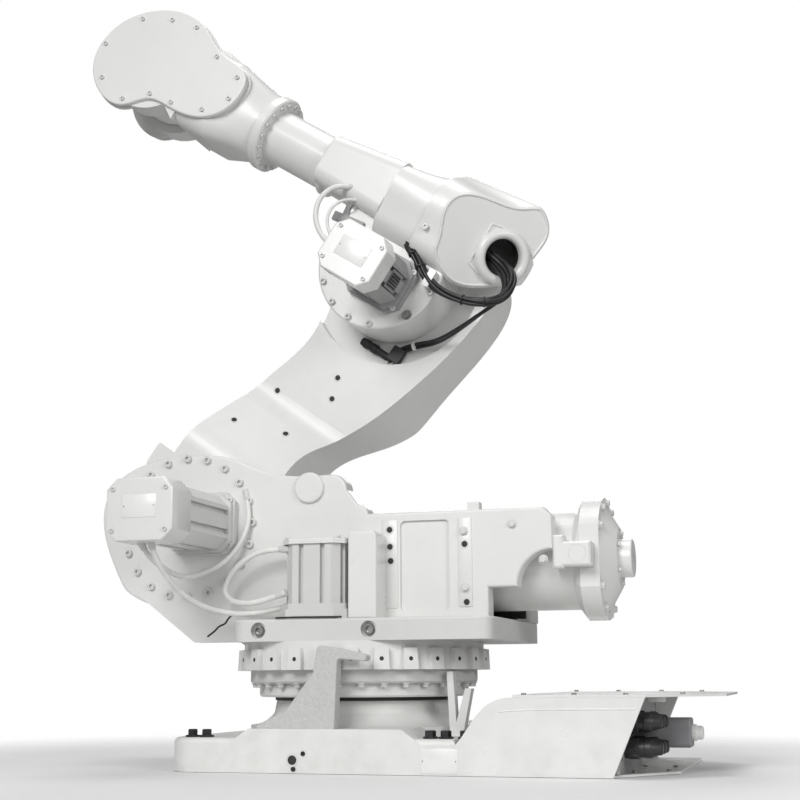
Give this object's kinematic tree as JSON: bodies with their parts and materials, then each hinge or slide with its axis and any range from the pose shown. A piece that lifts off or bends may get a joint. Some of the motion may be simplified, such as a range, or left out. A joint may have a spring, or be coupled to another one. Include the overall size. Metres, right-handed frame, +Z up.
{
  "type": "industrial robot arm",
  "caption": "Six-axis floor-standing robot arm with a turning frame, curved lower arm, spring balancer, tube upper arm and wrist with tool flange.",
  "frame": {"origin": "centre of the foundation bolt pattern on the floor, on the turning axis of the frame", "axes": "+X forward over the foot, +Y to the robot's left, +Z up"},
  "size_m": [1.9716, 1.058, 2.4444],
  "materials": {
    "white_paint": "semi-gloss off-white enamel",
    "cast_paint": "rough cast, thinly painted grey",
    "dark_plastic": "matt black",
    "black_cable": "satin black jacket",
    "white_cable": "satin white jacket",
    "steel": "ground steel"
  },
  "bodies": {
    "foot": {"base_casting": "white_paint", "axis_1_gear_ring": "white_paint", "axis_1_bearing_ring": "white_paint", "connector_box_wall_left": "white_paint", "connector_box_wall_right": "white_paint", "connector_box_lid": "white_paint", "connector_box_floor": "white_paint", "connector_panel": "white_paint", "signal_connectors": "dark_plastic", "power_connector_hood": "dark_plastic", "stop_bracket": "cast_paint", "strut_bracket": "white_paint"},
    "frame": {"turntable_ring": "white_paint", "turntable_plate": "white_paint", "frame_wall_left": "white_paint", "frame_wall_right": "white_paint", "frame_cross_wall": "white_paint", "axis_2_gearbox": "white_paint", "axis_2_bearing": "white_paint", "axis_2_bearing_cover": "white_paint", "axis_2_motor": "white_paint", "axis_2_motor_cap": "white_paint", "axis_1_motor": "white_paint", "axis_1_motor_cap": "white_paint", "axis_1_motor_box": "white_paint", "trunnion_bearing_left": "white_paint", "trunnion_bearing_right": "white_paint", "axis_2_signal_cable": "white_cable", "axis_2_motor_cable": "white_cable", "axis_1_motor_cable": "white_cable"},
    "balancer": {"balancer_barrel": "white_paint", "balancer_rear_cover": "white_paint"},
    "rod": {"balancer_rod": "steel"},
    "lower_arm": {"lower_arm": "white_paint", "balancer_pin": "steel", "arm_connectors": "dark_plastic"},
    "upper_arm": {"elbow_hub": "white_paint", "upper_arm_housing": "white_paint", "rear_cap": "white_paint", "cable_collar": "white_paint", "axis_3_motor": "white_paint", "axis_3_motor_cap": "white_paint", "axis_4_front_ring": "white_paint", "harness_clamp": "white_paint", "elbow_harness": "black_cable", "axis_3_motor_cable": "white_cable"},
    "tube": {"arm_tube": "white_paint", "wrist_flange_ring": "white_paint", "wrist_housing": "white_paint", "wrist_cover_left": "white_paint", "wrist_cover_right": "white_paint"},
    "tilt": {"tilt_housing": "white_paint"},
    "tool": {"tool_flange": "steel"}
  },
  "joints": [
    {"name": "axis_1", "type": "hinge", "parent": "foot", "child": "frame", "pos_m": [0, 0, 0.3], "axis": [0, 0, 1], "range_deg": [-180, 180]},
    {"name": "axis_2", "type": "hinge", "parent": "frame", "child": "lower_arm", "pos_m": [0.478, 0, 0.686], "axis": [0, 1, 0], "range_deg": [-30, 115]},
    {"name": "balancer_swing", "type": "hinge", "parent": "frame", "child": "balancer", "pos_m": [-0.678, 0, 0.574], "axis": [0, -1, 0], "range_deg": [-4.5, 16.5]},
    {"name": "rod_swing", "type": "hinge", "parent": "lower_arm", "child": "rod", "pos_m": [0.32626, 0, 0.57166], "axis": [0, -1, 0], "range_deg": [-35, 132]},
    {"name": "axis_3", "type": "hinge", "parent": "lower_arm", "child": "upper_arm", "pos_m": [-0.085, 0, 1.478], "axis": [0, -1, 0], "range_deg": [-71, 169]},
    {"name": "axis_4", "type": "hinge", "parent": "upper_arm", "child": "tube", "pos_m": [0.10562, 0, 1.8524], "axis": [0.8339, 0, 0.5519], "range_deg": [-300, 300]},
    {"name": "axis_5", "type": "hinge", "parent": "tube", "child": "tilt", "pos_m": [0.68467, 0, 2.23567], "axis": [0, 1, 0], "range_deg": [-100, 100]},
    {"name": "axis_6", "type": "hinge", "parent": "tilt", "child": "tool", "pos_m": [0.85145, 0, 2.34605], "axis": [0.8339, 0, 0.5519], "range_deg": [-360, 360]}
  ],
  "couplings": [
    {"joint": "balancer_swing", "follows": "axis_2", "ratio": 0.14},
    {"joint": "rod_swing", "follows": "axis_2", "ratio": 1.14}
  ]
}
